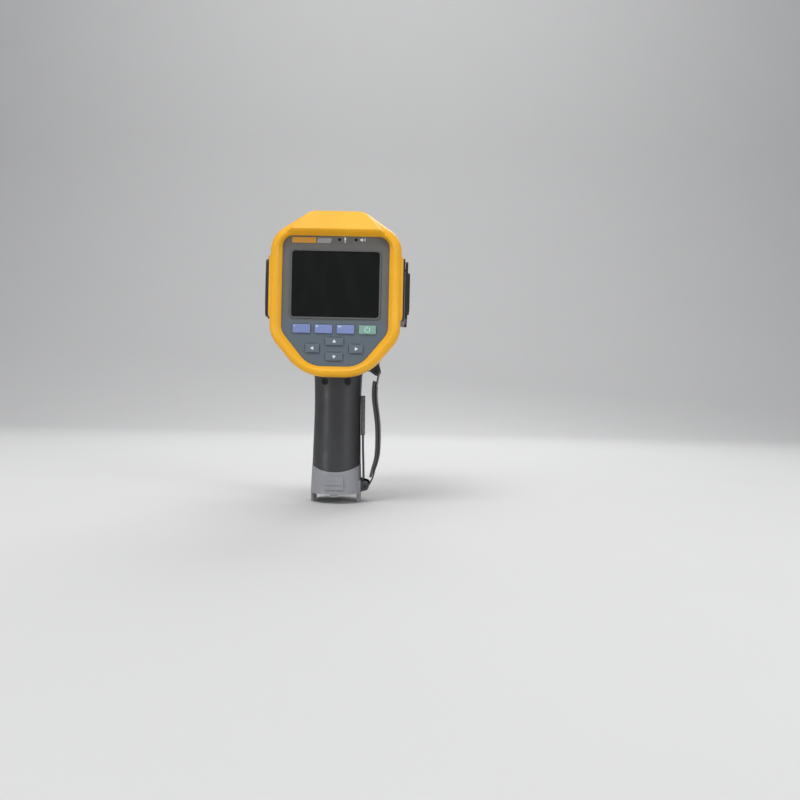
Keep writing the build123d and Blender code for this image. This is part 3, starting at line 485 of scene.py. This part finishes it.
def corner_arc(before, corner, after, radius, steps):
    """Points of the round that replaces a corner."""
    p = Vector(corner)
    to_a = (Vector(before) - p).normalized()
    to_b = (Vector(after) - p).normalized()
    half = to_a.angle(to_b) / 2
    reach = radius / math.tan(half)
    centre = p + (to_a + to_b).normalized() * (radius / math.sin(half))
    start = p + to_a * reach
    end = p + to_b * reach
    spoke = start - centre
    sweep = spoke.angle_signed(end - centre)
    points = []
    for i in range(steps + 1):
        angle = -sweep * i / steps
        c = math.cos(angle)
        s = math.sin(angle)
        points.append((centre.x + spoke.x * c - spoke.y * s, centre.y + spoke.x * s + spoke.y * c))
    return points


def ring_loop(corners, radii, depths):
    """A closed loop from the top centre, clockwise from behind, with a depth at each corner, in metres."""
    arc_steps = (8, 12, 10, 12)
    straight_steps = (8, 6, 16, 12, 6)
    stops = [(0.0, corners[0][1])] + list(corners) + [(0.0, corners[-1][1])]
    arcs = [corner_arc(stops[i], stops[i + 1], stops[i + 2], radius, steps)
            for i, (radius, steps) in enumerate(zip(radii, arc_steps))]
    half = []
    previous = ((0.0, corners[0][1]), depths[0])
    for i, arc in enumerate(arcs):
        for k in range(straight_steps[i]):
            t = k / straight_steps[i]
            half.append((lerp(previous[0][0], arc[0][0], t), lerp(previous[1], depths[i], t),
                         lerp(previous[0][1], arc[0][1], t)))
        half += [(x, depths[i], z) for x, z in arc[:-1]]
        previous = (arc[-1], depths[i])
    for k in range(straight_steps[-1] + 1):
        t = k / straight_steps[-1]
        half.append((lerp(previous[0][0], 0.0, t), depths[-1], previous[0][1]))
    whole = half + [(-x, y, z) for x, y, z in reversed(half[1:-1])]
    return [(x * MM, y * MM, z * MM) for x, y, z in whole]


def between(outline_a, outline_b, share):
    """Corners part of the way from one outline to another."""
    return tuple((lerp(a[0], b[0], share), lerp(a[1], b[1], share)) for a, b in zip(outline_a, outline_b))


def blended(share, bulge):
    """A loop part of the way from the outer edge to the crest, bulged outward except on the brow."""
    radii = tuple(lerp(a, b, share) for a, b in zip(OUTER_RADII, CREST_RADII))
    lifts = (0.0, 0.75, 1.0, 1.0)
    depths = [lerp(a, b, share) - bulge * lift for a, b, lift in zip(OUTER_Y, CREST_Y, lifts)]
    return ring_loop(between(OUTER, CREST, share), radii, depths)


def inward(share, depth_share, dip):
    """A loop part of the way from the crest to the opening, raised rearward by dip."""
    radii = tuple(lerp(a, b, share) for a, b in zip(CREST_RADII, OPENING_RADII))
    depths = [lerp(a, OPENING_Y, depth_share) - dip for a in CREST_Y]
    return ring_loop(between(CREST, OPENING, share), radii, depths)


def flat_loop(corners, radii, y):
    """A closed loop at one depth."""
    return ring_loop(corners, radii, (y,) * 4)


def grown(corners, amount):
    """Outline corners moved outward, near enough for a hidden step."""
    return tuple((x + amount, z + (amount if i < 2 else -amount)) for i, (x, z) in enumerate(corners))


bezel_loops = [
    flat_loop(OUTER, OUTER_RADII, BEZEL_FRONT_Y),
    flat_loop(OUTER, OUTER_RADII, BEZEL_FRONT_Y - 0.6),
    ring_loop(OUTER, OUTER_RADII, (-46.4, -48.6, -48.6, -48.6)),
    blended(0.0, 0.0),
    blended(0.04, 0.9),
    blended(0.14, 2.0),
    blended(0.30, 2.7),
    blended(0.50, 2.4),
    blended(0.72, 1.5),
    blended(0.92, 0.5),
    blended(1.0, 0.15),
    inward(0.10, 0.04, 0.1),
    inward(0.30, 0.16, 0.25),
    inward(0.60, 0.48, 0.3),
    inward(0.86, 0.84, 0.1),
    inward(0.97, 0.96, 0.0),
    flat_loop(OPENING, OPENING_RADII, -52.0),
    flat_loop(OPENING, OPENING_RADII, LIP_Y),
    flat_loop(grown(OPENING, HIDDEN_STEP), HIDDEN_RADII, LIP_Y),
    flat_loop(grown(OPENING, HIDDEN_STEP), HIDDEN_RADII, RECESS_Y),
    flat_loop(SHELL_EDGE, SHELL_EDGE_RADII, RECESS_Y),
    flat_loop(SHELL_EDGE, SHELL_EDGE_RADII, BEZEL_FRONT_Y),
]
bezel = new_piece("bezel", skin("bezel", bezel_loops, closed=True), mat["yellow_casing"], "camera",
                  28.0)
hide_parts("rear_bezel")

# Side lugs of the bezel, just behind the port doors. Each station gives depth, step in and end trim
LUG_TOP = 201.5
LUG_BOTTOM = 146.5
LUG_INNER = 52.2
LUG_SHOULDER = 54.1
LUG_OUTER = 55.5
LUG_STATIONS = ((-43.2, 0.0, 0.0), (-48.0, 0.0, 0.0), (-49.2, 0.3, 0.6), (-50.0, 0.8, 1.8), (-50.4, 1.4, 3.2))
for side, label in ((1, "right"), (-1, "left")):
    loops = []
    for y, step_in, trim in LUG_STATIONS:
        outer_x = LUG_OUTER - step_in
        top = LUG_TOP - trim
        bottom = LUG_BOTTOM + trim
        profile = [(LUG_INNER, top), (LUG_SHOULDER, top - 0.9), (outer_x - 0.3, top - 2.6),
                   (outer_x, top - 4.4), (outer_x, bottom + 4.4), (outer_x - 0.3, bottom + 2.6),
                   (LUG_SHOULDER, bottom + 0.9), (LUG_INNER, bottom)]
        loops.append([(side * x * MM, y * MM, z * MM) for x, z in profile])
    lug_mesh = skin(f"{label}_lug", loops, cap_first=True, cap_last=True)
    new_piece(f"{label}_lug", lug_mesh, mat["yellow_casing"], "camera", 50.0)


# ---------------------------------------------------------------- keys

KEY_FRONT = -48.0
KEY_FLANGE = 0.8
KEY_MARK_Y = -52.84


def key_cap(node, radius, crown, slot):
    """A key with eased edges and a slightly crowned face, where the CAD key is."""
    low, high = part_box(node)
    cx = (low.x + high.x) / 2
    cz = (low.z + high.z) / 2
    width = high.x - low.x - 2 * KEY_FLANGE * MM
    height = high.z - low.z - 2 * KEY_FLANGE * MM
    steps = ((KEY_FRONT, 0.0), (-51.6, 0.0), (-52.2, 0.05), (-52.5, 0.22), (-52.65, 0.5), (-52.72, 1.0),
             (-52.74 - crown * 0.6, 2.0), (-52.74 - crown, 2.9))
    loops = []
    for y, inset in steps:
        inset_m = inset * MM
        ring = rounded_rectangle(cx, cz, width - 2 * inset_m, height - 2 * inset_m,
                                 max(radius * MM - inset_m * 0.7, 0.25 * MM), 5)
        loops.append([(x, y * MM, z) for x, z in ring])
    mesh = skin(f"{node}_cap", loops, cap_first=True, cap_last=True)
    cap = new_piece(f"{node}_cap", mesh, mat[slot], node, 50.0)
    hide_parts(node)
    return cx, cz, width, height


def mark(name, outline, body, material, y, thickness=0.12):
    """A printed or moulded mark standing a hair proud of a face."""
    return plate_y(name, outline, y * MM, (y + thickness) * MM, material, body)


for index, node in enumerate(("f1_key", "f2_key", "f3_key")):
    cx, cz, width, height = key_cap(node, 1.0, 0.06, "blue_key")
    bars = []
    for k in range(index + 1):
        bx = cx - width / 2 + (1.5 + 1.0 * k) * MM
        bz = cz + height / 2 - 1.5 * MM
        bar = rounded_rectangle(bx, bz, 0.55 * MM, 1.2 * MM, 0.15 * MM, 3)
        bars.append(mark(f"{node}_bar{k}", bar, node, PRINT_WHITE, KEY_MARK_Y))
    if len(bars) > 1:
        join_pieces(f"{node}_mark", bars)
    else:
        bars[0].name = f"{node}_mark"

# The power symbol: a ring with a gap at the top, and a stem in the gap
RING_STEPS = 28
RING_RADII = (2.35, 1.75)
GAP_DEGREES = 64
RING_Y = -52.87
cx, cz, width, height = key_cap("power_key", 1.0, 0.06, "green_key")
arc_points = []
arc_faces = []
for i in range(RING_STEPS + 1):
    angle = math.radians(90 + GAP_DEGREES / 2 + (360 - GAP_DEGREES) * i / RING_STEPS)
    for radius in RING_RADII:
        x = cx + radius * MM * math.cos(angle)
        z = cz + radius * MM * math.sin(angle)
        arc_points += [(x, RING_Y * MM, z), (x, -52.70 * MM, z)]
for i in range(RING_STEPS):
    a = 4 * i
    arc_faces += [(a, a + 4, a + 6, a + 2), (a + 1, a + 3, a + 7, a + 5), (a, a + 1, a + 5, a + 4),
                  (a + 2, a + 6, a + 7, a + 3)]
end = 4 * RING_STEPS
arc_faces += [(0, 2, 3, 1), (end, end + 1, end + 3, end + 2)]
arc = new_piece("power_arc", mesh_from("power_arc", arc_points, arc_faces), PRINT_TEAL, "power_key")
stem = mark("power_stem", rounded_rectangle(cx, cz + 1.9 * MM, 0.6 * MM, 2.0 * MM, 0.2 * MM, 3),
            "power_key", PRINT_TEAL, RING_Y, 0.16)
join_pieces("power_mark", [arc, stem])

for node, turn in (("up_key", 0), ("left_key", 90), ("down_key", 180), ("right_key", 270)):
    cx, cz, width, height = key_cap(node, 0.9, 0.04, "grey_key")
    triangle = []
    for k in range(3):
        corner = math.radians(90 + turn + 120 * k)
        for step in (-1, 0, 1):
            tip = Vector((1.25 * MM * math.cos(corner), 1.25 * MM * math.sin(corner)))
            round_angle = corner + math.radians(60 * step)
            tip += Vector((math.cos(round_angle), math.sin(round_angle))) * 0.3 * MM
            triangle.append((cx + tip.x, cz + tip.y))
    mark(f"{node}_arrow", triangle, node, PRINT_WHITE, KEY_MARK_Y)


# ---------------------------------------------------------------- fascia details

FASCIA_Y = -51.45
SENSOR_RADIUS = 1.2


def fascia_mark(name, outline, material=PRINT_WHITE):
    """A printed mark on the fascia."""
    return mark(name, outline, "camera", material, FASCIA_Y - 0.06, 0.08)


def glyph_bar(name, x, z, width, height, radius, steps):
    """A rounded bar of a fascia symbol, its height given from the sensors' centre line."""
    outline = rounded_rectangle(x, sensor_z + z * MM, width * MM, height * MM, radius * MM, steps)
    return fascia_mark(name, outline)


badge_low, badge_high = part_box("badge_strip")
tag_z = (badge_low.z + badge_high.z) / 2
tag = [(-14.9, 2.0), (-3.6, 2.0), (-4.8, -2.0), (-16.1, -2.0)]
fascia_mark("model_tag", [(x * MM, tag_z + z * MM) for x, z in tag], PRINT_GREY)

sensor_low, sensor_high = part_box("fascia_sensors")
sensor_z = (sensor_low.z + sensor_high.z) / 2
microphone_x = sensor_low.x + (SENSOR_RADIUS + 4.6) * MM
speaker_x = sensor_high.x - SENSOR_RADIUS * MM
cone = [(3.4, 0.6), (4.3, 0.6), (5.5, 1.6), (5.5, -1.6), (4.3, -0.6), (3.4, -0.6)]
glyphs = [
    glyph_bar("glyph_a", microphone_x, 0.5, 1.3, 2.8, 0.6, 4),
    glyph_bar("glyph_b", microphone_x, -1.5, 0.4, 1.0, 0.1, 2),
    glyph_bar("glyph_c", microphone_x, -2.1, 1.9, 0.4, 0.1, 2),
    fascia_mark("glyph_d", [(speaker_x + x * MM, sensor_z + z * MM) for x, z in cone]),
    glyph_bar("glyph_e", speaker_x + 6.5 * MM, 0.0, 0.45, 1.6, 0.2, 3),
    glyph_bar("glyph_f", speaker_x + 7.4 * MM, 0.0, 0.45, 2.6, 0.2, 3),
]
join_pieces("sensor_marks", glyphs)


# ---------------------------------------------------------------- hand strap

def curve_points(stops, count):
    """Even points with their directions along a smooth line through the stops, in X and Z millimetres."""
    fine = []
    ends = [stops[0]] + list(stops) + [stops[-1]]
    for i in range(1, len(ends) - 2):
        p0, p1, p2, p3 = (Vector(p) for p in ends[i - 1:i + 3])
        for k in range(24):
            t = k / 24
            fine.append(0.5 * ((2 * p1) + (p2 - p0) * t + (2 * p0 - 5 * p1 + 4 * p2 - p3) * t ** 2
                               + (3 * p1 - p0 - 3 * p2 + p3) * t ** 3))
    fine.append(Vector(stops[-1]))
    lengths = [0.0]
    for a, b in zip(fine, fine[1:]):
        lengths.append(lengths[-1] + (b - a).length)
    result = []
    at = 0
    for i in range(count):
        want = lengths[-1] * i / (count - 1)
        while at < len(fine) - 2 and lengths[at + 1] < want:
            at += 1
        share = (want - lengths[at]) / max(lengths[at + 1] - lengths[at], 1e-9)
        here = fine[at].lerp(fine[at + 1], min(max(share, 0), 1))
        ahead = (fine[at + 1] - fine[at]).normalized()
        result.append((here, ahead))
    return result


def strap(name, stops, width, thickness, slot, node, count, taper=0.0, ripple=0.0):
    """A band along stops with rounded edges. Taper narrows its ends and ripple stirs its faces."""
    across = 17
    loops = []
    line = curve_points(stops, count)
    for i, (here, ahead) in enumerate(line):
        share = i / (count - 1)
        end_round = 1.0 - taper * max(0.0, 1.0 - min(share, 1 - share) / 0.06) ** 2
        half_w = width / 2 * end_round
        half_t = thickness / 2
        normal = Vector((-ahead.y, ahead.x))
        loop = []
        for face in (1, -1):
            for k in range(across):
                u = -1 + 2 * k / (across - 1)
                edge = (1 - abs(u) ** 6) ** 0.5
                stir = ripple * math.sin(i * 0.9 + k * 0.5) * math.sin(i * 0.37 + 2.0) * (1 - abs(u))
                lift = face * half_t * edge + stir
                side = face * u * half_w
                loop.append(((here.x + normal.x * lift) * MM, side * MM, (here.y + normal.y * lift) * MM))
        loops.append(loop)
    mesh = skin(name, loops, cap_first=True, cap_last=True)
    work = bmesh.new()
    work.from_mesh(mesh)
    bmesh.ops.remove_doubles(work, verts=work.verts, dist=1e-6)
    work.to_mesh(mesh)
    work.free()
    piece = new_piece(name, mesh, mat[slot], "camera", 60.0)
    if node:
        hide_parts(node)
    return piece, line


SEAM_EVERY = 16
CLOTH_FRAMES = 20
SWELL_LIMIT = 0.40 * MM


def inflate(piece, line):
    """Swell a stitched pad with cloth pressure. Its edges and cross seams stay where they are."""
    centre = [Vector((here.x * MM, 0, here.y * MM)) for here, ahead in line]
    edge = max(vertex.co.y for vertex in piece.data.vertices) * 0.86
    pinned = []
    for vertex in piece.data.vertices:
        flat = Vector((vertex.co.x, 0, vertex.co.z))
        nearest = min(range(len(centre)), key=lambda i: (centre[i] - flat).length_squared)
        if abs(vertex.co.y) > edge or nearest % SEAM_EVERY == 0:
            pinned.append(vertex.index)
    group = piece.vertex_groups.new(name="seams")
    group.add(pinned, 1.0, "REPLACE")
    before = [vertex.co.copy() for vertex in piece.data.vertices]
    cloth = piece.modifiers.new("cloth", "CLOTH")
    cloth.settings.quality = 4
    cloth.settings.mass = 0.3
    cloth.settings.tension_stiffness = 6
    cloth.settings.compression_stiffness = 6
    cloth.settings.use_pressure = True
    cloth.settings.uniform_pressure_force = 10.0
    cloth.settings.vertex_group_mass = group.name
    cloth.settings.effector_weights.gravity = 0
    cloth.point_cache.frame_end = CLOTH_FRAMES
    for frame_number in range(1, CLOTH_FRAMES + 1):
        bpy.context.scene.frame_set(frame_number)
    swollen = piece.evaluated_get(bpy.context.evaluated_depsgraph_get())
    after = [vertex.co.copy() for vertex in swollen.data.vertices]
    piece.modifiers.remove(cloth)
    bpy.context.scene.frame_set(1)
    for vertex, old, new in zip(piece.data.vertices, before, after):
        move = new - old
        if move.length > SWELL_LIMIT:
            move = move.normalized() * SWELL_LIMIT
        vertex.co = old + move


# The strap's lines in X and Z millimetres
PAD_RUN = ((31.9, 98.0), (31.2, 90.0), (31.7, 80.0), (34.7, 58.0), (34.8, 34.0), (31.8, 20.0), (30.4, 14.0))
TAIL_RUN = ((23.9, 11.2), (23.5, 24.0), (22.9, 38.0), (22.6, 52.0))
PATCH_RUN = ((22.6, 50.0), (22.4, 62.0), (22.2, 85.0))
BAND_RUN = [(35.0, 101.0), (33.9, 94.0), (33.65, 88.0), (34.15, 80.0), (36.95, 58.0), (36.95, 34.0),
            (33.85, 20.0), (31.9, 12.0)]
TOP_BAR = (33.5, 107.0)
LOW_BAR = (25.6, 6.0)
LOOP_RADIUS = 2.75
LOOP_STEPS = 8

pad, pad_line = strap("hand_pad", PAD_RUN, 34.0, 2.4, "pad_fabric", "strap_pad", 81, 0.10)
inflate(pad, pad_line)

# The tail: plain band below, its end a thicker patch of hook tape lying by the handle
strap("tail_band", TAIL_RUN, 22.0, 1.3, "webbing", "strap_tail", 60)
strap("hook_patch", PATCH_RUN, 23.0, 3.1, "hook_tape", None, 90, 0.3, 0.22)


def bar_loop(centre, start, sweep):
    """Stops on the band's turn round a bar, in degrees from the right side."""
    turn = [math.radians(start - sweep * k / LOOP_STEPS) for k in range(LOOP_STEPS + 1)]
    return [(centre[0] + LOOP_RADIUS * math.cos(a), centre[1] + LOOP_RADIUS * math.sin(a)) for a in turn]


webbing_stops = bar_loop(TOP_BAR, 215, 215) + BAND_RUN + bar_loop(LOW_BAR, -40, 200)
webbing_line = strap("strap_band", webbing_stops, 25.0, 1.3, "webbing", "strap_webbing", 170)[1]


STITCH_SECTIONS = ((-0.75, 0.0, 0.10), (-0.4, 0.16, 0.20), (0.4, 0.16, 0.20), (0.75, 0.0, 0.10))


def stitches(name, line, half_width, lift, first, last):
    """Rows of short raised threads along both edges of a band, from the first point to the last."""
    points = []
    faces = []
    for side in (-1, 1):
        for i in range(first, last, 2):
            here, ahead = line[i]
            normal = Vector((-ahead.y, ahead.x))
            base = len(points)
            for along, height, spread in STITCH_SECTIONS:
                for u, v in ((1, 0), (0, 1), (-1, 0), (0, -1)):
                    x = here.x + ahead.x * along + normal.x * (lift + height + v * spread)
                    z = here.y + ahead.y * along + normal.y * (lift + height + v * spread)
                    points.append((x * MM, (side * half_width + u * spread) * MM, z * MM))
            for ring in range(3):
                for k in range(4):
                    n = (k + 1) % 4
                    a = base + 4 * ring
                    faces.append((a + k, a + n, a + 4 + n, a + 4 + k))
            faces += [(base, base + 1, base + 2, base + 3), (base + 12, base + 13, base + 14, base + 15)]
    return new_piece(name, mesh_from(name, points, faces), THREAD, "camera", 60.0)


# Both lines run downward, so the side that the lift is on faces outward
stitches("band_stitches", webbing_line, 10.6, 0.62, 34, 132)
stitches("pad_stitches", pad_line, 15.9, 0.80, 5, 75)
